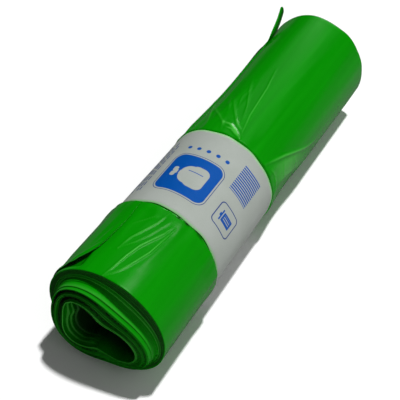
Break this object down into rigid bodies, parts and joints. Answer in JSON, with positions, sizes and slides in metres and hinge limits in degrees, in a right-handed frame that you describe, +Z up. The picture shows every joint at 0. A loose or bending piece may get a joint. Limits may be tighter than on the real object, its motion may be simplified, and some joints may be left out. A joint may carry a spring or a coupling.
{
  "type": "bin bag roll",
  "caption": "Coreless roll of folded refuse sacks with a collapsed oval hollow, held by a glued paper band; one end is telescoped.",
  "frame": {"origin": "on the surface the roll lies on, below the middle of its bounding box", "axes": "+Y along the roll from its telescoped end to its far end, +Z up, +X to the right seen from the telescoped end"},
  "size_m": [0.0912, 0.359, 0.0893],
  "materials": {
    "film": "thin glossy polyethylene film, vivid green, wound in many layers",
    "paper": "smooth light grey paper with plain blue fields and stripes"
  },
  "bodies": {
    "root": {"bag_roll": "film", "loose_strip": "film", "paper_band": "paper"}
  },
  "joints": []
}
